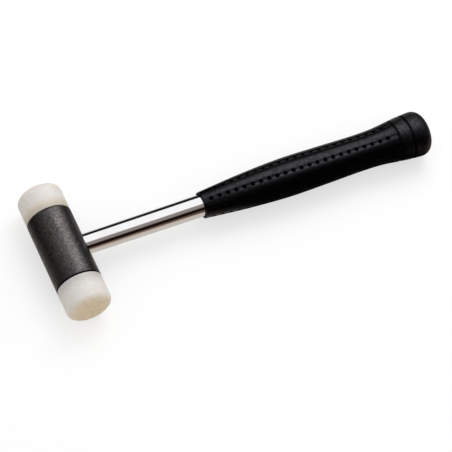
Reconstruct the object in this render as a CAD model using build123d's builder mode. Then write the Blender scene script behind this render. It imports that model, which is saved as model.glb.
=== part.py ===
from build123d import *

import math
import os

# Soft face hammer lying on its side, as it lies on a bench. All sizes are in millimetres.
# +Z is up, the handle runs along +X and the head lies across it along Y.
# The origin is on the bench under the middle of the hammer.

# overall
overall_length = 320.0  # far side of the head to the end of the grip
head_diameter = 35.0
body_length = 60.0  # steel body between the two nylon tips
body_chamfer = 0.5
bore_chamfer = 0.8

# nylon tips
tip_length = 23.0  # what shows beyond the body
tip_step = 0.15  # how far a tip's side lies below the body's
tip_edge_radius = 5.5
tip_seat_chamfer = 0.4
shank_diameter = 20.0  # over the thread crests
shank_length = 15.0
shank_chamfer = 1.2
neck_diameter = 17.6  # thread run-out under the shoulder
neck_length = 2.0
bore_end_room = 1.5  # left below the shank
thread_clearance = 0.05  # radial

# tubular handle
tube_head_diameter = 16.0
tube_grip_diameter = 17.0
tube_wall = 1.5
tube_showing = 93.5  # between the head and the grip
socket_floor = 5.0  # steel left behind the tube's end
fixed_clearance = 0.02  # radial, between pieces that are pressed or driven together

# steel plug in the tube's end and the spring pin that locks both in the body
plug_length = 24.0
plug_chamfer = 1.0
pin_diameter = 5.0
pin_wall = 1.0
pin_slot = 1.0
pin_chamfer = 0.6
pin_end_room = 0.5

# rubber grip: places along its sleeve as (share of the sleeve, width across, depth)
front_wall = 1.8  # rubber round the tube at the grip's front
shoulder_share, shoulder_width, shoulder_depth = 0.21, 27.4, 25.6
belly_share, belly_width, belly_depth = 0.42, 31.6, 28.4
palm_share, palm_width, palm_depth = 0.61, 31.0, 27.8
waist_share, waist_width, waist_depth = 0.80, 29.6, 26.8
flare_share, flare_width, flare_depth = 0.91, 30.6, 27.4
band_width, band_depth = 33.7, 31.2  # at the first groove
second_band_width, second_band_depth = 35.7, 33.8  # at the second groove
knob_width, knob_depth = 36.6, 34.88
knob_edge_radius = 8.0
knob_land = 0.5  # full-width stretch before the rounding
grip_end_wall = 14.0  # rubber behind the tube's end
grip_turn = -11.0  # degrees that the grip sits turned on its round tube

# moulded dot rows, which lie in shallow flutes between eight soft facets
row_count = 8
dot_pitch = 6.77
dot_first = 6.4  # from the front of the grip
dot_last = 8.1  # least distance from the last dot to the first groove
dot_diameter = 3.4
dot_depth = 1.3
dot_sides = 8
flute_depth = 0.45
front_flute_depth = 0.15  # the flutes run out towards the front edge
facet_crown = 0.1  # how far a facet's middle stands off the oval

# two grooves round the flared end
groove_setback = 27.4  # first groove, from the end of the grip
groove_pitch = 10.5
groove_width = 2.0
groove_depth = 1.0

head_radius = head_diameter / 2
bore_depth = shank_length + bore_end_room
web = body_length - 2 * bore_depth  # solid middle of the body that holds the handle
head_x = head_radius - overall_length / 2
grip_length = overall_length - head_diameter - tube_showing
grip_start = head_radius + tube_showing  # from the head's axis
sleeve_length = grip_length - groove_setback
dots_per_row = int((sleeve_length - dot_first - dot_last) / dot_pitch) + 1
front_diameter = tube_grip_diameter + 2 * front_wall
tube_start = -head_radius + socket_floor
tube_end = grip_start + grip_length - grip_end_wall
turn = math.radians(grip_turn)
knob_drop = math.hypot(knob_width / 2 * math.sin(turn), knob_depth / 2 * math.cos(turn))
axis_height = max(head_radius, knob_drop)  # the hammer lies on its head and its knob

head_centre = Vector(head_x, 0, axis_height)
# cross planes: local z along the handle or the head
handle = Plane(origin=head_centre, x_dir=(0, 1, 0), z_dir=(1, 0, 0))
turned = Plane(origin=head_centre, x_dir=(0, math.cos(turn), math.sin(turn)), z_dir=(1, 0, 0))
head = Plane(origin=head_centre, x_dir=(1, 0, 0), z_dir=(0, -1, 0))
# profile planes: local x along the axis that the profile turns about, local y outwards
handle_profile = Plane(origin=head_centre, x_dir=(1, 0, 0), z_dir=(0, -1, 0))
head_profile = Plane(origin=head_centre, x_dir=(0, 1, 0), z_dir=(1, 0, 0))
handle_axis = Axis(head_centre, (1, 0, 0))
head_axis = Axis(head_centre, (0, 1, 0))


def oval_point(width, depth, degrees, lift=0.0):
    """Point of an oval in the grip's cross plane, the angle from its depth axis."""
    angle = math.radians(degrees)
    return ((width / 2 + lift) * math.sin(angle), (depth / 2 + lift) * math.cos(angle))


def facet_arc(width, depth, flute, facet):
    """Three points of one facet of the grip's section, from flute to flute over its crown."""
    step = 360 / row_count
    crown = facet_crown * flute / flute_depth
    return (
        oval_point(width, depth, (facet - 0.5) * step, -flute),
        oval_point(width, depth, facet * step, crown),
        oval_point(width, depth, (facet + 0.5) * step, -flute),
    )


# --- steel body of the head -------------------------------------------------------------
with BuildPart() as body:
    with BuildSketch(head):
        Circle(head_radius)
    extrude(amount=body_length / 2, both=True)
    chamfer(body.edges().filter_by(GeomType.CIRCLE), body_chamfer)
    # a bore at each end for the thread of a tip
    for side in (1, -1):
        with BuildSketch(head.offset(side * body_length / 2)):
            Circle(shank_diameter / 2 + thread_clearance)
        extrude(amount=-side * bore_depth, mode=Mode.SUBTRACT)
    mouths = body.edges().filter_by(GeomType.CIRCLE).filter_by(
        lambda edge: abs(edge.radius - shank_diameter / 2 - thread_clearance) < 1e-6
        and abs(abs(edge.center().Y) - body_length / 2) < 1e-6
    )
    chamfer(mouths, bore_chamfer)
    # the blind socket for the handle
    with BuildSketch(handle.offset(tube_start)):
        Circle(tube_head_diameter / 2 + fixed_clearance)
    extrude(amount=head_diameter, mode=Mode.SUBTRACT)
    # the hole for the spring pin, from the floor of one bore to the other
    with BuildSketch(head):
        Circle(pin_diameter / 2 + fixed_clearance)
    extrude(amount=web / 2 + bore_end_room / 2, both=True, mode=Mode.SUBTRACT)
body.part.label = "head_body"

# --- nylon tips -------------------------------------------------------------------------
seat = body_length / 2
face = seat + tip_length
tip_radius = head_radius - tip_step
shank_radius = shank_diameter / 2
with BuildPart() as right_tip:
    with BuildSketch(head_profile):
        with BuildLine():
            Polyline(
                (face, 0),
                (seat - shank_length, 0),
                (seat - shank_length, shank_radius - shank_chamfer),
                (seat - shank_length + shank_chamfer, shank_radius),
                (seat - neck_length, shank_radius),
                (seat - neck_length, neck_diameter / 2),
                (seat, neck_diameter / 2),
                (seat, tip_radius - tip_seat_chamfer),
                (seat + tip_seat_chamfer, tip_radius),
                (face - tip_edge_radius, tip_radius),
            )
            RadiusArc(
                (face - tip_edge_radius, tip_radius),
                (face, tip_radius - tip_edge_radius),
                tip_edge_radius,
            )
            Line((face, tip_radius - tip_edge_radius), (face, 0))
        make_face()
    revolve(axis=head_axis)
right_tip.part.label = "right_tip"

with BuildPart() as left_tip:
    mirror(right_tip.part, about=Plane.XZ)
left_tip.part.label = "left_tip"

# --- handle tube ------------------------------------------------------------------------
small = tube_head_diameter / 2
large = tube_grip_diameter / 2
with BuildPart() as tube:
    with BuildSketch(handle_profile):
        with BuildLine():
            Polyline(
                (tube_start, small - tube_wall),
                (tube_start, small),
                (head_radius, small),
                (grip_start, large),
                (tube_end, large),
                (tube_end, large - tube_wall),
                (grip_start, large - tube_wall),
                (head_radius, small - tube_wall),
                close=True,
            )
        make_face()
    revolve(axis=handle_axis)
    with BuildSketch(head):
        Circle(pin_diameter / 2 + fixed_clearance)
    extrude(amount=tube_head_diameter, both=True, mode=Mode.SUBTRACT)
tube.part.label = "handle_tube"

# --- plug in the tube's end -------------------------------------------------------------
with BuildPart() as plug:
    with BuildSketch(handle.offset(tube_start)):
        Circle(small - tube_wall - fixed_clearance)
    extrude(amount=plug_length)
    chamfer(plug.edges().filter_by(GeomType.CIRCLE), plug_chamfer)
    with BuildSketch(head):
        Circle(pin_diameter / 2 + fixed_clearance)
    extrude(amount=tube_head_diameter, both=True, mode=Mode.SUBTRACT)
plug.part.label = "tube_plug"

# --- slotted spring pin -----------------------------------------------------------------
pin_length = web - 2 * pin_end_room
with BuildPart() as pin:
    with BuildSketch(head):
        Circle(pin_diameter / 2)
    extrude(amount=pin_length / 2, both=True)
    chamfer(pin.edges().filter_by(GeomType.CIRCLE), pin_chamfer)
    with BuildSketch(head):
        Circle(pin_diameter / 2 - pin_wall)
        with Locations((pin_diameter / 2, 0)):
            Rectangle(pin_diameter, pin_slot)
    extrude(amount=pin_length, both=True, mode=Mode.SUBTRACT)
pin.part.label = "lock_pin"

# --- rubber grip ------------------------------------------------------------------------
# each station: distance from the grip's front, width, depth
stations = [
    (0.0, front_diameter, front_diameter),
    (shoulder_share * sleeve_length, shoulder_width, shoulder_depth),
    (belly_share * sleeve_length, belly_width, belly_depth),
    (palm_share * sleeve_length, palm_width, palm_depth),
    (waist_share * sleeve_length, waist_width, waist_depth),
    (flare_share * sleeve_length, flare_width, flare_depth),
    (sleeve_length, band_width, band_depth),
]
knob_distance = grip_length - knob_edge_radius - knob_land
oval_stations = [
    (sleeve_length, band_width, band_depth),
    (sleeve_length + groove_pitch, second_band_width, second_band_depth),
    (knob_distance, knob_width, knob_depth),
]
groove_stations = oval_stations[:2]
front = turned.offset(grip_start)


def blend(distance, column):
    """Width (column 1) or depth (column 2) of the sleeve at a distance from its front."""
    for low, high in zip(stations, stations[1:]):
        if distance <= high[0]:
            share = (distance - low[0]) / (high[0] - low[0])
            return low[column] + (high[column] - low[column]) * share
    return stations[-1][column]


# one plane for each dot: on the flute's floor, facing straight out of the oval
dots = []
for row in range(row_count):
    degrees = (row + 0.5) * 360 / row_count
    for dot in range(dots_per_row):
        distance = dot_first + dot * dot_pitch
        across, up = oval_point(blend(distance, 1), blend(distance, 2), degrees, -flute_depth)
        outward = front.x_dir * across + front.y_dir * up
        spot = front.origin + front.z_dir * distance + outward
        dots.append(Plane(origin=spot, x_dir=front.z_dir, z_dir=outward))

# the core that leaves one dot in the rubber
with BuildPart() as dot_core:
    with BuildSketch():
        RegularPolygon(dot_diameter / 2, dot_sides)
    extrude(amount=dot_depth, both=True)

with BuildPart() as grip:
    # eight-lobed sleeve up to the first groove
    for distance, width, depth in stations:
        flute = flute_depth if distance else front_flute_depth
        with BuildSketch(front.offset(distance)):
            with BuildLine():
                for facet in range(row_count):
                    ThreePointArc(*facet_arc(width, depth, flute, facet))
            make_face()
    loft()
    # smooth oval flare from the first groove to the knob's widest place
    for distance, width, depth in oval_stations:
        with BuildSketch(front.offset(distance)):
            Ellipse(width / 2, depth / 2)
    loft()
    # rounded end
    with BuildSketch(front.offset(knob_distance)):
        Ellipse(knob_width / 2, knob_depth / 2)
    extrude(amount=grip_length - knob_distance)
    fillet(grip.edges().sort_by(handle_axis)[-1], knob_edge_radius)
    # socket for the tube
    with BuildSketch(front):
        Circle(large + fixed_clearance)
    extrude(amount=tube_end - grip_start, mode=Mode.SUBTRACT)
    # two grooves round the flare
    for distance, width, depth in groove_stations:
        with BuildSketch(front.offset(distance - groove_width / 2)):
            Ellipse(width, depth)
            Ellipse(width / 2 - groove_depth, depth / 2 - groove_depth, mode=Mode.SUBTRACT)
        extrude(amount=groove_width, mode=Mode.SUBTRACT)
    # dot rows
    with Locations(*dots):
        add(dot_core.part, mode=Mode.SUBTRACT)
grip.part.label = "grip"

os.makedirs("parts", exist_ok=True)
for piece in (body, right_tip, left_tip, tube, plug, pin, grip):
    export_step(piece.part, f"parts/{piece.part.label}.step")
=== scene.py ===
import math

import bmesh
import bpy
from mathutils import Matrix, Vector


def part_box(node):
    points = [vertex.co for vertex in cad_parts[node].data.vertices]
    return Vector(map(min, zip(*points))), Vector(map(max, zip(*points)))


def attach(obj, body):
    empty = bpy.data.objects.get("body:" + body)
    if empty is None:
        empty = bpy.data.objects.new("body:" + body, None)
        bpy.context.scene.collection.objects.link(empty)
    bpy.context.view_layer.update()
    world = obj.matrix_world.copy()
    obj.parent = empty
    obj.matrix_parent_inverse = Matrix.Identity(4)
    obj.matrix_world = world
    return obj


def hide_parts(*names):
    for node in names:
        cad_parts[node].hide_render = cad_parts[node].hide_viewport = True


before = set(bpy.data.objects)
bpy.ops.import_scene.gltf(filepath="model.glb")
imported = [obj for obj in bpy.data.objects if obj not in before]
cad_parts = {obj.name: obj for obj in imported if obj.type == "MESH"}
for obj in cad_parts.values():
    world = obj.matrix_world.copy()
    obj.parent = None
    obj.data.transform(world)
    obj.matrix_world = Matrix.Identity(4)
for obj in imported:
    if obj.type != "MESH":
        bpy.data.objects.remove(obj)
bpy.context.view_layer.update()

MM = 0.001
WHITE = (1.0, 1.0, 1.0)
BLACK = (0.0, 0.0, 0.0)

# --- sizes, in millimetres, with places taken from the frame ------------------------------
body_low, body_high = (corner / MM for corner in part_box("head_body"))
tip_low, tip_high = (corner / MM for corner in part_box("right_tip"))
tube_low, tube_high = (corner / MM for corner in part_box("handle_tube"))
grip_low, grip_high = (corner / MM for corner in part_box("grip"))

head_centre = (body_low + body_high) / 2
head_radius = (body_high.x - body_low.x) / 2
seat = body_high.y  # from the head's middle to a tip's shoulder
face = tip_high.y  # and to its striking face
tip_radius = (tip_high.x - tip_low.x) / 2
shank_end = tip_low.y

# rings next to an edge, which keep its shading crisp and the surface behind it flat
crease = 0.05
support = 2.0

# steel body
body_segments = 192
body_edge = 1.0
body_edge_length = 1.25
body_rounding = 0.6
bore_radius = 10.05
shank_room = 1.5  # behind a tip's shank
bore_floor = shank_end - shank_room
bore_mouth = 0.8
pin_hole_radius = 2.52

# nylon tips
tip_segments = 160
tip_edge = 5.5
tip_seat_edge = 0.4
shank_radius = 10.0
shank_point = 1.2
neck_radius = 8.8
neck_length = 2.0
face_crown = 0.5  # the striking face dips this much towards its rim
crown_rings = 12

# screw thread of shanks and bores
thread_pitch = 2.5
thread_depth = 1.3
thread_setback = 0.2  # from the shank's end
thread_rings = 12  # in one pitch
thread_fade = 6  # it grows and fades over one sixth of its length
thread_crest = 0.12  # shares of half a pitch
thread_flank = 0.68

# handle tube
tube_segments = 256
tube_wall = 1.5
tube_head_radius = 8.0
tube_grip_radius = tube_high.y
taper_rings = 24

# rubber grip: its outline is (distance from its front, width across, depth)
grip_start = grip_low.x
grip_length = grip_high.x - grip_low.x
groove_setback = 27.4
groove_pitch = 10.5
groove_width = 2.0
groove_depth = 1.0
sleeve_length = grip_length - groove_setback
front_diameter = 20.6
knob_width, knob_depth = 36.6, 34.88
knob_edge = 8.0
knob_land = 0.5
knob_start = grip_length - knob_edge - knob_land
outline = [
    (0.0, front_diameter, front_diameter),
    (0.21 * sleeve_length, 27.4, 25.6),
    (0.42 * sleeve_length, 31.6, 28.4),
    (0.61 * sleeve_length, 31.0, 27.8),
    (0.80 * sleeve_length, 29.6, 26.8),
    (0.91 * sleeve_length, 30.6, 27.4),
    (sleeve_length, 33.7, 31.2),
    (sleeve_length + groove_pitch, 35.7, 33.8),
    (knob_start, knob_width, knob_depth),
]
WIDTH, DEPTH = 1, 2  # columns of the outline
grip_turn = math.radians(-11)
socket_clearance = 0.02
socket_radius = tube_grip_radius + socket_clearance
socket_end = tube_high.x - grip_low.x
socket_crease = 0.4

# its rounded front edge, and one side of a groove from the wall, as (distance, lift)
front_edge = [(0.0, -1.2), (0.0, -0.45), (0.05, -0.2), (0.2, -0.05), (0.45, 0.0), (1.1, 0.0), (2.6, 0.0)]
groove_side = [(-0.5, 0.0), (-0.12, 0.0), (0.0, -0.06), (0.06, 0.1 - groove_depth), (0.2, -groove_depth)]

# places of its plain rings: ahead of the grooves, between them, behind them and on the knob's end
rings_ahead = (4.5, 2.5)
rings_between = (0.3, 0.5, 0.7)  # shares of the groove pitch
ring_behind = 3.0
end_rings = (2.0, 4.0, 6.0, 7.5)  # inwards from the knob's rounding

# its flutes and rows of dots
row_count = 8
row_step = 360 / row_count
dot_pitch = 6.77
dot_first = 6.4
dot_count = 23
dot_radius = 1.7
dot_depth = 1.3
flute_depth = 0.45
front_flute_depth = 0.15
facet_crown = 0.1

# how finely the grip is meshed: each dot has a block of cells of its own
dot_cells = 6
dot_half_angle = 11.0
dot_half_length = 2.35
plain_cells = 4  # between two rows
gap_cells = 2  # between two dots of a row
sector = dot_cells + plain_cells

# --- wear, finish and painted shade, in millimetres ---------------------------------------
worn_bowl = 0.0142  # how the yellowing draws back from the head's axis, in 1/mm
worn_start = face - 9.0
worn_full = face + 0.8
worn_raggedness = 2.0
right_face_spared = 0.7  # the right striking face has this much less of it
# painted shade: a brownish band on the right tip's skin next to its seat, where the steel body shades
# the nylon
shade_band_start = seat + 3
shade_band_end = seat + 11
# painted shade on both tips: the nylon darkens towards each seat, where the body shades it
seat_shade_start = seat + 0.5
right_seat_shade_length = 6
left_seat_shade_length = 10
# painted shade in the seams: how far the near-black rim of the steel body blends in
seam_shade_blend = 0.4
flare = grip_start + sleeve_length
knob_end = grip_start + knob_start
knob_roughness = 0.16  # added to the sleeve's
knob_gloss = 0.55  # share added to the sleeve's

# --- stage, in metres ---------------------------------------------------------------------
table_reach = 4.0
cloth_reach = 2.3
cloth_lift = 0.0006
card_lift = 0.0008
flag_radius = 0.3
tube_flag_start, grip_flag_end = -0.6, 0.7
flags_meet = 0.058  # where the flag that the tube shows passes to the one that the grip shows
side_flag_radius = 2.0
side_flag_reach = 1.6
curtain_radius, curtain_height = 2.4, 1.05
table_line = 0.001  # the curtain's lower edge
strip_count = 24
curtain_segments = 48


# --- mesh helpers -------------------------------------------------------------------------
def make_piece(name, points, faces, material, body, node):
    """A smooth mesh in the row frame, from points in millimetres, that stands for a CAD node."""
    mesh = bpy.data.meshes.new(name)
    mesh.from_pydata([Vector(point) * MM for point in points], [], faces)
    piece = bpy.data.objects.new(name, mesh)
    bpy.context.scene.collection.objects.link(piece)
    work = bmesh.new()
    work.from_mesh(mesh)
    bmesh.ops.remove_doubles(work, verts=work.verts, dist=1e-6)
    loose = [vertex for vertex in work.verts if not vertex.link_faces]
    bmesh.ops.delete(work, geom=loose, context="VERTS")
    bmesh.ops.recalc_face_normals(work, faces=work.faces)
    work.to_mesh(mesh)
    work.free()
    mesh.shade_smooth()
    mesh.materials.append(material)
    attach(piece, body)
    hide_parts(node)
    return piece


def band(low, high, count):
    """Quads between two closed rings of points, each named by its first index."""
    quads = []
    for step in range(count):
        after = (step + 1) % count
        quads.append((low + step, low + after, high + after, high + step))
    return quads


def fan(ring, count, middle):
    """Triangles from a closed ring of points to one in its middle."""
    return [(ring + step, ring + (step + 1) % count, middle) for step in range(count)]


def rounded(centre, radius, start, end, steps=6):
    """Points of a rounded corner in a profile; angles in degrees from the turning axis."""
    points = []
    for step in range(steps + 1):
        angle = math.radians(start + (end - start) * step / steps)
        along = centre[0] + radius * math.cos(angle)
        out = centre[1] + radius * math.sin(angle)
        points.append((along, out))
    return points


def tooth(phase):
    """Depth of a screw thread's flank below its crest, from 0 to 1, over one pitch."""
    away = abs((phase % 1.0) - 0.5) * 2
    return min(1.0, max(0.0, (away - thread_crest) / thread_flank))


def turned(profile, segments):
    """Rings of a turned form about local z. A profile point is (along, radius, thread depth)."""
    points, faces = [], []
    for along, radius, *cut in profile:
        depth = cut[0] if cut else 0.0
        for segment in range(segments):
            share = segment / segments
            out = radius - depth * tooth(along / thread_pitch - share)
            angle = 2 * math.pi * share
            points.append((out * math.cos(angle), out * math.sin(angle), along))
    for ring in range(len(profile) - 1):
        faces += band(ring * segments, (ring + 1) * segments, segments)
    return points, faces


def carried(points, x_axis, y_axis, z_axis, origin):
    """Local points carried to the row frame."""
    axes = Matrix((x_axis, y_axis, z_axis)).transposed()
    return [axes @ Vector(point) + origin for point in points]


def to_right(points):
    """From a form whose z points out of the head to the right tip's side."""
    return carried(points, (1, 0, 0), (0, 0, -1), (0, 1, 0), head_centre)


def to_left(points):
    """The same form on the left tip's side."""
    return carried(points, (-1, 0, 0), (0, 0, -1), (0, -1, 0), head_centre)


def threaded_run(radius):
    """Profile points along the tips' screw thread, from the shank's end, that fades at both ends."""
    start, end = shank_end + thread_setback, seat - neck_length
    count = round((end - start) / thread_pitch * thread_rings)
    run = []
    for step in range(count + 1):
        share = step / count
        grown = min(1.0, thread_fade * share, thread_fade * (1 - share))
        run.append((start + (end - start) * share, radius, thread_depth * grown))
    return run


# --- material helpers; an owner is a material or a world ----------------------------------
def new_material(name):
    """A material and the shader in it."""
    material = bpy.data.materials.new(name)
    material.use_nodes = True
    return material, material.node_tree.nodes["Principled BSDF"]


def set_inputs(owner, node, values):
    """Gives each named input a constant, a colour or another node's result."""
    for name, value in values.items():
        socket = node.inputs[name]
        if isinstance(value, bpy.types.NodeSocket):
            owner.node_tree.links.new(value, socket)
        elif socket.type == "RGBA":
            socket.default_value = (*value[:3], 1.0)
        else:
            socket.default_value = value


def add_node(owner, kind, values=None, **settings):
    """A new node with its settings and inputs."""
    made = owner.node_tree.nodes.new("ShaderNode" + kind)
    for name, value in settings.items():
        setattr(made, name, value)
    set_inputs(owner, made, values or {})
    return made


def calculate(owner, operation, first, second):
    """A sum, product and so on of two values, each a node's result or a number."""
    made = add_node(owner, "Math", operation=operation)
    set_inputs(owner, made, {0: first, 1: second})
    return made.outputs["Value"]


def tint(material, share, first, second):
    """Mixes two colours; the first may be the result of another tint."""
    mixed = add_node(material, "Mix", data_type="RGBA")
    set_inputs(material, mixed, {"Factor": share, 6: first, 7: second})
    return mixed.outputs[2]


def spread(material, source, low, high, to_low=0.0, to_high=1.0):
    """Maps a value's range low..high smoothly to another range."""
    ranged = add_node(
        material,
        "MapRange",
        {"Value": source, "From Min": low, "From Max": high, "To Min": to_low, "To Max": to_high},
        interpolation_type="SMOOTHSTEP",
    )
    return ranged.outputs["Result"]


def own_place(material):
    """Place in the object's own coordinates, in metres; at rest they are the row frame's."""
    return add_node(material, "TexCoord").outputs["Object"]


def grain(material, size, detail=3.0, roughness=0.55, stretch=(1, 1, 1)):
    """Noise of about this feature size in millimetres."""
    scaled = add_node(material, "Mapping", {"Vector": own_place(material), "Scale": stretch})
    noise = add_node(
        material,
        "TexNoise",
        {
            "Vector": scaled.outputs["Vector"],
            "Scale": 1 / (size * MM),
            "Detail": detail,
            "Roughness": roughness,
        },
    )
    return noise.outputs["Fac"]


def patches(material, size, low, high, least=0.0, most=1.0, **look):
    """Grain whose levels low..high become values from least to most."""
    return spread(material, grain(material, size, **look), low, high, least, most)


def raise_surface(material, shader, *heights):
    """Chains bumps, each a (height, millimetres)."""
    normal = None
    for height, size in heights:
        bump = add_node(material, "Bump", {"Height": height, "Strength": 1.0, "Distance": size * MM})
        if normal:
            set_inputs(material, bump, {"Normal": normal})
        normal = bump.outputs["Normal"]
    set_inputs(material, shader, {"Normal": normal})


def axis_place(material, axis):
    """Place along the row frame's x, y or z, in metres."""
    parts = add_node(material, "SeparateXYZ", {"Vector": own_place(material)})
    return parts.outputs[axis]


def from_middle(material):
    """Distance along the head from its middle, in metres."""
    return calculate(material, "ABSOLUTE", axis_place(material, "Y"), 0.0)


def from_head_axis(material):
    """Distance from the line through both tips, in metres."""
    centre = (head_centre.x * MM, 0.0, head_centre.z * MM)
    apart = add_node(material, "VectorMath", {0: own_place(material), 1: centre}, operation="SUBTRACT")
    flat = add_node(
        material, "VectorMath", {0: apart.outputs["Vector"], 1: (1, 0, 1)}, operation="MULTIPLY"
    )
    length = add_node(material, "VectorMath", {0: flat.outputs["Vector"]}, operation="LENGTH")
    return length.outputs["Value"]


def on_right(material):
    """1 on the right tip's side of the head, else 0."""
    return calculate(material, "GREATER_THAN", axis_place(material, "Y"), 0.0)


def on_left(material):
    """1 on the left tip's side of the head, else 0."""
    return calculate(material, "SUBTRACT", 1.0, on_right(material))


# --- nylon --------------------------------------------------------------------------------
def clouded_nylon(material):
    """Fresh nylon: pale, with soft clouds and greyer specks."""
    milky, cream, grey = (0.80, 0.775, 0.75), (0.775, 0.74, 0.695), (0.665, 0.64, 0.61)
    cloud = patches(material, size=9, low=0.35, high=0.68)
    colour = tint(material, cloud, milky, cream)
    speck = patches(material, size=1.3, low=0.4, high=0.68, most=0.75, detail=4.0, roughness=0.7)
    return tint(material, speck, colour, grey)


def struck_nylon(material):
    """Yellowed nylon of a striking face, bruised and pitted."""
    straw, ochre, brown = (0.77, 0.65, 0.465), (0.70, 0.58, 0.405), (0.60, 0.49, 0.34)
    bruise = patches(material, size=5, low=0.35, high=0.7, detail=4.0, roughness=0.6)
    colour = tint(material, bruise, straw, ochre)
    pit = patches(material, size=1.4, low=0.45, high=0.68, most=0.8, detail=4.0, roughness=0.75)
    return tint(material, pit, colour, brown)


def raggedness(material):
    """What makes the edge of a worn area uneven, in metres."""
    return calculate(material, "MULTIPLY", grain(material, 5, detail=2.0), worn_raggedness * MM)


def striking_wear(material):
    """Share of the yellowing: a ragged bowl on each striking face, weaker on the right one."""
    out = from_head_axis(material)
    bowl = calculate(material, "MULTIPLY", calculate(material, "MULTIPLY", out, out), worn_bowl / MM)
    edge = calculate(material, "SUBTRACT", from_middle(material), bowl)
    edge = calculate(material, "ADD", edge, raggedness(material))
    worn = spread(material, edge, worn_start * MM, worn_full * MM)
    spared = calculate(material, "MULTIPLY", on_right(material), right_face_spared)
    return calculate(material, "MULTIPLY", worn, calculate(material, "SUBTRACT", 1.0, spared))


def painted_shade_band(material):
    """Share of the painted shade band: a brownish hue on the right tip's skin, next to its seat."""
    along = calculate(material, "ADD", axis_place(material, "Y"), raggedness(material))
    banded_shade = spread(material, along, shade_band_end * MM, shade_band_start * MM)
    return calculate(material, "MULTIPLY", banded_shade, on_right(material))


def painted_seat_shade(material, side, length, most):
    """Share of the painted shade on one tip's skin, darkest at its seat and fading over a length in
    millimetres.
    """
    end = seat + length
    shaded_share = spread(material, from_middle(material), end * MM, seat_shade_start * MM, to_high=most)
    return calculate(material, "MULTIPLY", shaded_share, side)


def nylon_material():
    """Natural nylon: cloudy, faintly translucent, yellowed on the striking faces, with painted shade
    next to the steel body.
    """
    # colours of the painted shade next to the body: the right tip's brownish band and the darkening at
    # each seat
    banded_shade, right_seat_shade, left_seat_shade = (0.66, 0.58, 0.46), (0.50, 0.47, 0.44), (0.52, 0.49, 0.47)
    material, shader = new_material("nylon")
    colour = clouded_nylon(material)
    colour = tint(material, striking_wear(material), colour, struck_nylon(material))
    colour = tint(material, painted_shade_band(material), colour, banded_shade)
    right_share = painted_seat_shade(material, on_right(material), right_seat_shade_length, most=0.5)
    colour = tint(material, right_share, colour, right_seat_shade)
    left_share = painted_seat_shade(material, on_left(material), left_seat_shade_length, most=0.75)
    colour = tint(material, left_share, colour, left_seat_shade)
    look = {
        "Base Color": colour,
        "Subsurface Weight": 0.6,
        "Subsurface Radius": (1.0, 0.8, 0.5),
        "Subsurface Scale": 7 * MM,
        "Roughness": patches(material, size=3, low=0.3, high=0.7, least=0.38, most=0.52, detail=4.0),
    }
    set_inputs(material, shader, look)
    fine = grain(material, 1.0, detail=4.0, roughness=0.65)
    raise_surface(material, shader, (fine, 0.1), (grain(material, 6, detail=2.0), 0.15))
    return material


# --- metals and rubber --------------------------------------------------------------------
def black_steel_material():
    """Chemically blackened steel: satin, clouded brown and grey-green, turned finish, with painted shade
    in the seam at each rim.
    """
    blue_black, brown_black = (0.058, 0.057, 0.059), (0.076, 0.068, 0.070)
    worn_bright, stained, seam_shade_black = (0.142, 0.133, 0.117), (0.036, 0.030, 0.032), (0.012, 0.011, 0.011)
    material, shader = new_material("black_steel")
    cloud = patches(material, size=14, low=0.38, high=0.66, detail=4.0, roughness=0.6)
    colour = tint(material, cloud, blue_black, brown_black)
    speck = patches(material, size=1.2, low=0.48, high=0.66, detail=4.0, roughness=0.72)
    colour = tint(material, speck, colour, worn_bright)
    stain = patches(material, size=2.0, low=0.48, high=0.68, most=0.9, detail=4.0, roughness=0.7)
    colour = tint(material, stain, colour, stained)
    # painted shade: the chamfered rim at each seat turns near black, as if the gap to the nylon were in
    # shadow
    seam_shade_start = seat - body_edge
    rim = spread(material, from_middle(material), (seam_shade_start - seam_shade_blend) * MM, seam_shade_start * MM)
    colour = tint(material, rim, colour, seam_shade_black)
    satin = grain(material, 5, detail=5.0, roughness=0.65)
    rough = spread(material, satin, low=0.3, high=0.7, to_low=0.32, to_high=0.46)
    set_inputs(material, shader, {"Base Color": colour, "Metallic": 1.0, "Roughness": rough})
    turning = grain(material, 0.35, detail=2.0, roughness=0.5, stretch=(0.15, 1, 0.15))
    pitting = grain(material, 0.8, detail=4.0, roughness=0.7)
    raise_surface(material, shader, (turning, 0.004), (pitting, 0.02))
    return material


def chrome_material():
    """Bright chrome plating with faint wiping marks."""
    clear, hazed = (0.93, 0.93, 0.94), (0.89, 0.885, 0.88)
    material, shader = new_material("chrome")
    haze = patches(material, size=20, low=0.35, high=0.7, detail=4.0, roughness=0.6)
    colour = tint(material, haze, clear, hazed)
    wiping = grain(material, 4, detail=5.0, roughness=0.7, stretch=(0.3, 1, 1))
    rough = spread(material, wiping, low=0.4, high=0.8, to_low=0.03, to_high=0.09)
    set_inputs(material, shader, {"Base Color": colour, "Metallic": 1.0, "Roughness": rough})
    raise_surface(material, shader, (grain(material, 12, detail=2.0), 0.01))
    return material


def plain_steel_material():
    """Bare steel of the parts inside the head."""
    bare, dulled = (0.50, 0.49, 0.47), (0.40, 0.38, 0.36)
    material, shader = new_material("plain_steel")
    cloud = patches(material, size=3, low=0.35, high=0.7, detail=4.0)
    colour = tint(material, cloud, bare, dulled)
    rough = patches(material, size=0.8, low=0.3, high=0.7, least=0.28, most=0.45, detail=4.0)
    set_inputs(material, shader, {"Base Color": colour, "Metallic": 1.0, "Roughness": rough})
    raise_surface(material, shader, (grain(material, 0.4), 0.01))
    return material


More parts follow.
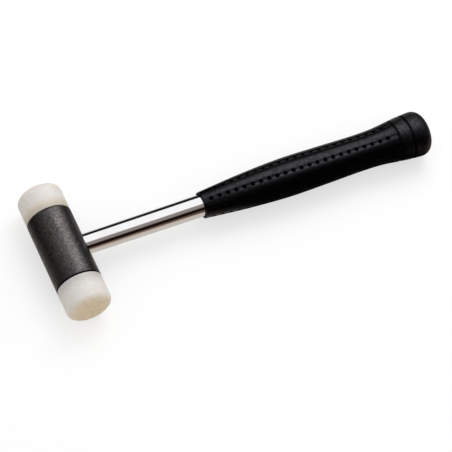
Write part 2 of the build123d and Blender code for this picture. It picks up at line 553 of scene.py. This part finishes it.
def rubber_gloss(material, on_knob):
    """Mottled gloss, richer on the knob, with painted shade that takes it out of dots and grooves."""
    # painted shade in hollows: the gloss fades where ambient occlusion finds dots and grooves
    cavity_shade = add_node(material, "AmbientOcclusion", {"Distance": 3 * MM}, samples=8)
    openness = spread(material, cavity_shade.outputs["AO"], low=0.68, high=0.98)
    mottle = grain(material, 1.7, detail=5.0, roughness=0.75)
    mottle = spread(material, mottle, low=0.38, high=0.62, to_low=0.10, to_high=0.24)
    richer = calculate(material, "ADD", calculate(material, "MULTIPLY", on_knob, knob_gloss), 1.0)
    mottle = calculate(material, "MULTIPLY", mottle, richer)
    return calculate(material, "MULTIPLY", openness, mottle)


def rubber_material():
    """Black moulded rubber, satin, with a fine mould grain that is coarser on the knob's end."""
    blue_black, warm_black = (0.0006, 0.0006, 0.0008), (0.0012, 0.0011, 0.0012)
    dusty = (0.006, 0.0055, 0.006)
    material, shader = new_material("black_rubber")
    cloud = patches(material, size=10, low=0.35, high=0.7, detail=4.0, roughness=0.6)
    colour = tint(material, cloud, blue_black, warm_black)
    dust = patches(material, size=0.9, low=0.55, high=0.8, most=0.25, detail=5.0, roughness=0.75)
    colour = tint(material, dust, colour, dusty)
    on_knob = spread(material, axis_place(material, "X"), (flare - 6) * MM, (flare + 8) * MM)
    rough = grain(material, 2.5, detail=5.0, roughness=0.7)
    rough = spread(material, rough, low=0.3, high=0.7, to_low=0.19, to_high=0.28)
    rougher = calculate(material, "MULTIPLY", on_knob, knob_roughness)
    look = {
        "Base Color": colour,
        "Roughness": calculate(material, "ADD", rough, rougher),
        "Specular IOR Level": rubber_gloss(material, on_knob),
        "Specular Tint": (0.92, 0.87, 1.0),
    }
    set_inputs(material, shader, look)
    at_end = spread(material, axis_place(material, "X"), (knob_end - 4) * MM, (knob_end + 2) * MM)
    coarse = calculate(material, "MULTIPLY", grain(material, 1.1, detail=4.0, roughness=0.6), at_end)
    fine = grain(material, 0.7, roughness=0.6)
    middling = grain(material, 2.4, roughness=0.6)
    raise_surface(material, shader, (fine, 0.05), (middling, 0.07), (coarse, 0.45))
    return material


nylon = nylon_material()
black_steel = black_steel_material()
chrome = chrome_material()
plain_steel = plain_steel_material()
rubber = rubber_material()

for name in ("tube_plug", "lock_pin"):
    inner_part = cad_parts[name]
    inner_part.data.materials.clear()
    inner_part.data.materials.append(plain_steel)


# --- head body ----------------------------------------------------------------------------
def half_body_profile():
    """Half of the steel body, from its middle outwards, with the threaded bore."""
    profile = [
        (0.0, pin_hole_radius),
        (bore_floor, pin_hole_radius),
        (bore_floor, bore_radius),
    ]
    profile += threaded_run(bore_radius)
    profile += [
        (seat - bore_mouth, bore_radius),
        (seat, bore_radius + bore_mouth),
        (seat, head_radius - body_edge),
        (seat - crease, head_radius - body_edge + crease / 5),
    ]
    profile += rounded((seat - body_edge_length, head_radius - body_rounding), body_rounding, 45, 90)
    profile += [(seat - support, head_radius), (seat / 2, head_radius), (0.0, head_radius)]
    return profile


def build_body():
    """The same half on both sides of the head's middle."""
    points, faces = turned(half_body_profile(), body_segments)
    shifted = [tuple(index + len(points) for index in quad) for quad in faces]
    both = to_right(points) + to_left(points)
    return make_piece(
        "head_steel", both, faces + shifted, black_steel, "hammer", "head_body"
    )


# --- nylon tips ---------------------------------------------------------------------------
def crowned_face():
    """Profile of a tip's rounded edge and striking face, to the middle."""
    edge_radius = tip_radius - tip_edge
    tilt = math.atan(2 * face_crown / edge_radius)
    rim = tip_radius - tip_edge * (1 - math.sin(tilt))
    centre = (face - face_crown - tip_edge * math.cos(tilt), edge_radius)
    profile = rounded(centre, tip_edge, 90, math.degrees(tilt), steps=14)
    for step in range(1, crown_rings + 1):
        out = rim * (1 - step / crown_rings)
        profile.append((face - face_crown * (out / rim) ** 2, out))
    return profile


def tip_profile():
    """A tip from the end of its shank to the middle of its striking face."""
    profile = [(shank_end, 0.0), (shank_end, shank_radius - shank_point)]
    profile += threaded_run(shank_radius)
    profile += [
        (seat - neck_length, neck_radius),
        (seat, neck_radius),
        (seat, neck_radius + tip_seat_edge),
        (seat, tip_radius - 1.5 * tip_seat_edge),
    ]
    edge_centre = (seat + tip_seat_edge, tip_radius - tip_seat_edge)
    profile += rounded(edge_centre, tip_seat_edge, 180, 90, steps=4)
    profile += [(seat + support, tip_radius), ((seat + face) / 2, tip_radius)]
    return profile + crowned_face()


def build_tip(name, to_side, body, node):
    """One screwed-in tip."""
    points, faces = turned(tip_profile(), tip_segments)
    return make_piece(name, to_side(points), faces, nylon, body, node)


# --- handle tube --------------------------------------------------------------------------
def tube_profile():
    """The tube's wall: tapered from head to grip, straight inside both."""
    start = tube_low.x - head_centre.x
    end = tube_high.x - head_centre.x
    cone_length = grip_low.x - head_centre.x - head_radius
    growth = tube_grip_radius - tube_head_radius
    outer = [(start, tube_head_radius), (head_radius, tube_head_radius)]
    for step in range(1, taper_rings + 1):
        share = step / taper_rings
        outer.append((head_radius + cone_length * share, tube_head_radius + growth * share))
    outer.append((end, tube_grip_radius))
    inner = [(along, radius - tube_wall) for along, radius in (outer[-1], outer[-2], outer[1], outer[0])]
    return outer + inner + outer[:1]


def build_tube():
    """The chromed tube between head and grip, with what it has inside both."""
    points, faces = turned(tube_profile(), tube_segments)
    points = carried(points, (0, 1, 0), (0, 0, 1), (1, 0, 0), head_centre)
    return make_piece("tube_chrome", points, faces, chrome, "hammer", "handle_tube")


# --- rubber grip --------------------------------------------------------------------------
def outline_slope(index, column):
    """How fast the outline grows at one of its points, from the points next to it."""
    before, after = outline[max(index - 1, 0)], outline[min(index + 1, len(outline) - 1)]
    return (after[column] - before[column]) / (after[0] - before[0])


def outline_at(distance, column):
    """Width or depth on a smooth curve through the outline."""
    if distance >= outline[-1][0]:
        return outline[-1][column]
    index = max(place for place, row in enumerate(outline) if row[0] <= distance or place == 0)
    low, high = outline[index], outline[index + 1]
    length = high[0] - low[0]
    share = (distance - low[0]) / length
    return (
        (2 * share**3 - 3 * share**2 + 1) * low[column]
        + (share**3 - 2 * share**2 + share) * length * outline_slope(index, column)
        + (3 * share**2 - 2 * share**3) * high[column]
        + (share**3 - share**2) * length * outline_slope(index + 1, column)
    )


def lobe(degrees, distance):
    """Height of the eight-lobed section over its oval; it ends at the first groove."""
    if distance > sleeve_length:
        return 0.0
    grown = min(1.0, distance / outline[1][0])
    flute = front_flute_depth + (flute_depth - front_flute_depth) * grown
    crown = facet_crown * flute / flute_depth
    away = abs((degrees / row_step + 0.5) % 1.0 - 0.5) * 2
    return crown - (crown + flute) * away**2


def grip_point(degrees, distance, lift):
    """A point of the grip's skin, with z along the handle from the grip's front."""
    angle = math.radians(degrees)
    out = lift + lobe(degrees, distance)
    across = (outline_at(distance, WIDTH) / 2 + out) * math.sin(angle)
    up = (outline_at(distance, DEPTH) / 2 + out) * math.cos(angle)
    return (across, up, distance)


def column_angles():
    """Angles of the skin's points round the grip: a row's block of cells, then a plain stretch."""
    angles = []
    plain = row_step - 2 * dot_half_angle
    for row in range(row_count):
        start = (row + 0.5) * row_step - dot_half_angle
        angles += [start + 2 * dot_half_angle * cell / dot_cells for cell in range(dot_cells)]
        start += 2 * dot_half_angle
        angles += [start + plain * cell / plain_cells for cell in range(plain_cells)]
    return angles


def groove_lines(centre):
    """(distance, lift) across one groove."""
    half = groove_width / 2
    shape = [(offset - half, lift) for offset, lift in groove_side]
    shape += [(-along, lift) for along, lift in reversed(shape)]
    return [(centre + along, lift) for along, lift in shape]


def dotted_lines():
    """(distance, lift) of the rings in and between the dots of a row."""
    lines = []
    gap = dot_pitch - 2 * dot_half_length
    for dot in range(dot_count):
        start = dot_first + dot * dot_pitch - dot_half_length
        lines += [(start + 2 * dot_half_length * cell / dot_cells, 0.0) for cell in range(dot_cells)]
        start += 2 * dot_half_length
        lines += [(start + gap * cell / gap_cells, 0.0) for cell in range(gap_cells)]
    return lines


def sleeve_lines():
    """(distance, lift) of every ring from the front to the knob's end."""
    second_groove = sleeve_length + groove_pitch
    lines = front_edge + dotted_lines()
    lines += [(sleeve_length - ahead, 0.0) for ahead in rings_ahead]
    lines += groove_lines(sleeve_length)
    lines += [(sleeve_length + groove_pitch * share, 0.0) for share in rings_between]
    lines += groove_lines(second_groove)
    lines += [(second_groove + ring_behind, 0.0), (knob_start, 0.0)]
    lines += rounded((knob_start + knob_land, -knob_edge), knob_edge, 90, 0, steps=16)
    lines += [(grip_length, -knob_edge - inward) for inward in end_rings]
    return lines


def dot_rings():
    """(radius, depth) from a dot's surroundings down to its bottom."""
    return [
        (dot_radius + 0.26, 0.0),
        (dot_radius + 0.08, 0.0),
        (dot_radius, 0.05),
        (dot_radius - 0.04, 0.2),
        (dot_radius - 0.1, dot_depth - 0.25),
        (dot_radius - 0.26, dot_depth - 0.05),
        (dot_radius - 0.8, dot_depth),
    ]


def dot_border(left, low, columns):
    """Points round a dot's block of the skin, from its corner at the left of its first line."""
    right, high = left + dot_cells, low + dot_cells
    border = [low * columns + column for column in range(left, right)]
    border += [line * columns + right for line in range(low, high)]
    border += [high * columns + column for column in range(right, left, -1)]
    border += [line * columns + left for line in range(high, low, -1)]
    return border


def add_dot(points, faces, border, degrees, distance):
    """Fills a block of the skin with rings round one dot."""
    reach = math.hypot(
        outline_at(distance, WIDTH) / 2 * math.cos(math.radians(degrees)),
        outline_at(distance, DEPTH) / 2 * math.sin(math.radians(degrees)),
    )
    first_corner = 225
    outer = border
    count = len(border)
    for radius, depth in dot_rings():
        inner = []
        for step in range(count):
            angle = math.radians(first_corner + 360 * step / count)
            turned_by = math.degrees(radius * math.cos(angle) / reach)
            inner.append(len(points))
            points.append(grip_point(degrees + turned_by, distance + radius * math.sin(angle), -depth))
        for step in range(count):
            after = (step + 1) % count
            faces.append((outer[step], outer[after], inner[after], inner[step]))
        outer = inner
    middle = len(points)
    points.append(grip_point(degrees, distance, -dot_depth))
    for step in range(count):
        faces.append((outer[step], outer[(step + 1) % count], middle))


def block_start(dot):
    """Index of the first of the lines in a dot's block."""
    return len(front_edge) + dot * (dot_cells + gap_cells)


def add_skin(points, faces, angles, lines):
    """The grip's outside, with a gap left for each dot's block."""
    columns = len(angles)
    block_lines = {block_start(dot) + cell for dot in range(dot_count) for cell in range(dot_cells)}
    for distance, lift in lines:
        points += [grip_point(degrees, distance, lift) for degrees in angles]
    for line in range(len(lines) - 1):
        for column, quad in enumerate(band(line * columns, (line + 1) * columns, columns)):
            if line not in block_lines or column % sector >= dot_cells:
                faces.append(quad)


def add_socket(points, faces, angles):
    """The hole that holds the tube, joined to the front's inner ring."""
    columns = len(angles)
    rings = (0.0, socket_crease, socket_end - socket_crease, socket_end)
    mouth = len(points)
    for distance in rings:
        for degrees in angles:
            angle = math.radians(degrees)
            points.append((socket_radius * math.sin(angle), socket_radius * math.cos(angle), distance))
    for ring in range(len(rings) - 1):
        faces += band(mouth + ring * columns, mouth + (ring + 1) * columns, columns)
    faces += band(0, mouth, columns)
    faces += fan(mouth + (len(rings) - 1) * columns, columns, len(points))
    points.append((0.0, 0.0, socket_end))


def build_grip():
    """The rubber sleeve with its dots, grooves, knob and socket, turned on the tube."""
    angles = column_angles()
    lines = sleeve_lines()
    columns = len(angles)
    points, faces = [], []
    add_skin(points, faces, angles, lines)
    for row in range(row_count):
        for dot in range(dot_count):
            border = dot_border(row * sector, block_start(dot), columns)
            add_dot(points, faces, border, (row + 0.5) * row_step, dot_first + dot * dot_pitch)
    faces += fan((len(lines) - 1) * columns, columns, len(points))
    points.append((0.0, 0.0, grip_length))
    add_socket(points, faces, angles)

    across = (0.0, math.cos(grip_turn), math.sin(grip_turn))
    up = (0.0, -math.sin(grip_turn), math.cos(grip_turn))
    front = Vector((grip_start, head_centre.y, head_centre.z))
    points = carried(points, across, up, (1, 0, 0), front)
    grip = make_piece("grip_rubber", points, faces, rubber, "hammer", "grip")
    smooth = grip.modifiers.new("smooth", "SUBSURF")
    smooth.levels = 1
    smooth.render_levels = 1
    return grip


build_body()
build_tip("right_tip_nylon", to_right, "right_tip", "right_tip")
build_tip("left_tip_nylon", to_left, "left_tip", "left_tip")
tube = build_tube()
build_grip()


# --- stage helpers ------------------------------------------------------------------------
def stage_mesh(name, points, faces, material):
    """A mesh of the studio, from points in metres, that isn't part of the hammer."""
    mesh = bpy.data.meshes.new(name)
    mesh.from_pydata(points, [], faces)
    mesh.materials.append(material)
    thing = bpy.data.objects.new(name, mesh)
    bpy.context.scene.collection.objects.link(thing)
    return thing


def level_sheet(name, points, lift, material):
    """A flat four-sided mesh at one height."""
    corners = [(across, along, lift) for across, along in points]
    return stage_mesh(name, corners, [(0, 1, 2, 3)], material)


def square(reach):
    """Corners of a square round the middle of the table."""
    return [(-reach, -reach), (reach, -reach), (reach, reach), (-reach, reach)]


def only_in_reflections(thing):
    """Studio flags shape what gloss and chrome show; they shade nothing and stay out of view."""
    thing.visible_camera = False
    thing.visible_diffuse = False
    thing.visible_shadow = False
    thing.visible_transmission = False
    thing.visible_volume_scatter = False


def seen_directly(owner):
    """1 for what shows in the picture or in a reflection, 0 for light that falls on things."""
    path = add_node(owner, "LightPath")
    seen = calculate(owner, "MAXIMUM", path.outputs["Is Camera Ray"], path.outputs["Is Glossy Ray"])
    return calculate(owner, "MAXIMUM", seen, path.outputs["Is Transmission Ray"])


def glow_material(name, strength=1.0, colour=(1.0, 0.96, 0.95)):
    """A material that only glows, and the shader in it."""
    material, shader = new_material(name)
    look = {
        "Base Color": BLACK,
        "Specular IOR Level": 0.0,
        "Emission Color": colour,
        "Emission Strength": strength,
    }
    set_inputs(material, shader, look)
    return material, shader


# --- table, light and camera --------------------------------------------------------------
def build_floor():
    """A pale table, white for the camera through a glow of its own, warm in the light it throws back."""
    thrown_back, shown, own_glow = (0.86, 0.81, 0.74), (0.42, 0.42, 0.42), 0.60
    material, shader = new_material("table")
    seen = seen_directly(material)
    look = {
        "Base Color": tint(material, seen, thrown_back, shown),
        "Emission Strength": calculate(material, "MULTIPLY", seen, own_glow),
        "Emission Color": WHITE,
        "Roughness": 0.9,
        "Specular IOR Level": 0.0,
    }
    set_inputs(material, shader, look)
    return level_sheet("table", square(table_reach), 0, material)


def build_world(diffuse_strength):
    """Plain light from all round; white to the camera and in reflections."""
    world = bpy.data.worlds.new("studio")
    bpy.context.scene.world = world
    world.use_nodes = True
    background = world.node_tree.nodes["Background"]
    strength = add_node(
        world,
        "MapRange",
        {"Value": seen_directly(world), "To Min": diffuse_strength, "To Max": 1.0},
    )
    set_inputs(world, background, {"Strength": strength.outputs["Result"], "Color": WHITE})


def build_softbox(name, direction, distance, size, radiance):
    """A square soft light that faces the hammer; radiance 1 shows as white."""
    light = bpy.data.lights.new(name, "AREA")
    light.shape = "SQUARE"
    light.size = size
    light.energy = radiance * math.pi * size * size
    lamp = bpy.data.objects.new(name, light)
    bpy.context.scene.collection.objects.link(lamp)
    toward = Vector(direction).normalized()
    lamp.location = toward * distance
    lamp.rotation_euler = toward.to_track_quat("Z", "Y").to_euler()
    return lamp


def spare(lamp, piece):
    """Keeps a lamp's light off one piece."""
    spared = bpy.data.collections.new(lamp.name + "_spares")
    spared.objects.link(piece)
    spared.collection_objects[0].light_linking.link_state = "EXCLUDE"
    lamp.light_linking.receiver_collection = spared


def build_camera():
    """The photograph's view: a long lens above the table, tilted by a small roll."""
    spot = Vector((-0.45943, -0.65126, 1.28345))
    target = Vector((-0.01515, -0.01429, 0.0))
    roll = math.radians(12.1)
    focal_pixels = 1976.6
    frame_pixels = 452
    data = bpy.data.cameras.new("camera")
    data.sensor_width = 36.0
    data.lens = focal_pixels / frame_pixels * data.sensor_width
    camera = bpy.data.objects.new("camera", data)
    bpy.context.scene.collection.objects.link(camera)
    forward = (target - spot).normalized()
    level = forward.cross(Vector((0, 0, 1))).normalized()
    above = level.cross(forward)
    right = level * math.cos(roll) + above * math.sin(roll)
    up = above * math.cos(roll) - level * math.sin(roll)
    turn = Matrix((right, up, -forward)).transposed().to_4x4()
    camera.matrix_world = Matrix.Translation(spot) @ turn
    bpy.context.scene.camera = camera


# --- what gloss and chrome show -----------------------------------------------------------
def graded(value, stops):
    """Straight line from tone to tone between stops, each a (place, tone)."""
    for (low, low_tone), (high, high_tone) in zip(stops, stops[1:]):
        if value <= high:
            return Vector(low_tone).lerp(Vector(high_tone), (value - low) / (high - low))
    return stops[-1][1]


def tunnel_flag(name, radius, sides, stops, bend):
    """Strips of a tunnel round the hammer that pass from tone to tone; 0 degrees is overhead."""
    start, end = stops[0][0], stops[-1][0]
    points, faces, shades = [], [], []
    for step in range(strip_count + 1):
        degrees = start + (end - start) * step / strip_count
        angle = math.radians(degrees)
        for side in sides:
            up = radius * math.cos(angle) + head_centre.z * MM
            points.append(bend(side, radius * math.sin(angle), up))
            shades.append(graded(degrees, stops))
    for low in range(0, 2 * strip_count, 2):
        faces.append((low, low + 1, low + 3, low + 2))
    material, shader = glow_material(name)
    shade = add_node(material, "VertexColor", layer_name="shade")
    set_inputs(material, shader, {"Emission Color": shade.outputs["Color"]})
    flag = stage_mesh(name, points, faces, material)
    layer = flag.data.color_attributes.new("shade", "FLOAT_COLOR", "POINT")
    for index, tone in enumerate(shades):
        layer.data[index].color = (*tone, 1.0)
    only_in_reflections(flag)


def across_flag(name, radius, sides, stops):
    """A tunnel along the handle; angles lean towards -Y, the camera's side."""
    tunnel_flag(name, radius, sides, stops, lambda side, out, up: (side, -out, up))


def along_flag(name, radius, sides, stops):
    """A tunnel along the head; angles lean towards -X."""
    tunnel_flag(name, radius, sides, stops, lambda side, out, up: (-out, side, up))


def ring_curtain(radius, height, strength):
    """A dark curtain all round, as low as the table."""
    points = []
    for level in (table_line, height):
        for segment in range(curtain_segments):
            angle = 2 * math.pi * segment / curtain_segments
            points.append((radius * math.cos(angle), radius * math.sin(angle), level))
    faces = band(0, curtain_segments, curtain_segments)
    material, _ = glow_material("curtain", strength)
    only_in_reflections(stage_mesh("curtain", points, faces, material))


def grade_along(material, axis, stops):
    """Colour graded from tone to tone between stops along one of the row frame's axes."""
    first, last = stops[0][0], stops[-1][0]
    values = {"Value": axis_place(material, axis), "From Min": first, "From Max": last}
    along = add_node(material, "MapRange", values)
    grade = add_node(material, "ValToRGB", {"Fac": along.outputs["Result"]})
    marks = grade.color_ramp.elements
    while len(marks) < len(stops):
        marks.new(0.5)
    for mark, (place, tone) in zip(marks, stops):
        mark.position = (place - first) / (last - first)
        mark.color = (*tone, 1.0)
    return grade.outputs["Color"]


def table_cloth():
    """What gloss shows of the table: warm under the tube, dark by the grip and further out."""
    stops = [
        (-0.8, (0.13, 0.09, 0.07)),
        (-0.25, (0.20, 0.15, 0.12)),
        (-0.115, (0.32, 0.24, 0.20)),
        (-0.05, (0.58, 0.50, 0.43)),
        (-0.02, (0.58, 0.54, 0.49)),
        (0.04, (0.55, 0.53, 0.52)),
        (0.075, (0.03, 0.025, 0.025)),
        (0.2, (0.01, 0.01, 0.01)),
    ]
    material, shader = glow_material("cloth")
    along, across = axis_place(material, "X"), axis_place(material, "Y")
    before_grip = spread(material, along, low=-0.03, high=0.02, to_low=1.0, to_high=0.06)
    beyond_grip = spread(material, along, low=0.15, high=0.18)
    behind_grip = spread(material, across, low=0.005, high=0.02)
    lit = calculate(material, "MAXIMUM", beyond_grip, behind_grip)
    lit = calculate(material, "MAXIMUM", before_grip, lit)
    dimmed_past_head = spread(material, along, low=-0.20, high=-0.165, to_low=0.55)
    look = {
        "Emission Color": grade_along(material, "Y", stops),
        "Emission Strength": calculate(material, "MULTIPLY", lit, dimmed_past_head),
    }
    set_inputs(material, shader, look)
    only_in_reflections(level_sheet("cloth", square(cloth_reach), cloth_lift, material))


def rim_card():
    """A pale card on the table behind the grip; it lights the grip's upper rim, not the tube."""
    near, far = 0.045, 1.2
    near_left, near_right, far_right, far_left = -0.012, 0.2, 0.6, 0.385
    points = [(near_left, near), (near_right, near), (far_right, far), (far_left, far)]
    material, _ = glow_material("rim_card", 0.5)
    only_in_reflections(level_sheet("rim_card", points, card_lift, material))


tube_stops = [
    (12, WHITE),
    (18, (0.28, 0.245, 0.235)),
    (43, (0.28, 0.235, 0.22)),
    (55, (0.008, 0.003, 0.003)),
    (80, (0.007, 0.002, 0.002)),
    (88, (0.30, 0.19, 0.14)),
]
grip_stops = [
    (-4, (0.9, 0.88, 0.88)),
    (10, (0.27, 0.24, 0.25)),
    (28, (0.07, 0.06, 0.065)),
    (46, BLACK),
    (88, BLACK),
]
head_stops = [
    (20, WHITE),
    (30, (0.80, 0.78, 0.78)),
    (42, (0.38, 0.36, 0.36)),
    (66, (0.30, 0.24, 0.25)),
    (88, (0.27, 0.19, 0.205)),
]

build_floor()
build_world(diffuse_strength=0.72)
key = build_softbox("key", direction=(0.37, 0.42, 0.83), distance=1.4, size=0.9, radiance=2.9)
spare(key, tube)
across_flag("tube_flag", flag_radius, (tube_flag_start, flags_meet), tube_stops)
across_flag("grip_flag", flag_radius, (flags_meet, grip_flag_end), grip_stops)
along_flag("side_flag", side_flag_radius, (-side_flag_reach, side_flag_reach), head_stops)
ring_curtain(curtain_radius, curtain_height, strength=0.012)
table_cloth()
rim_card()
build_camera()
bpy.context.scene.view_settings.view_transform = "Standard"
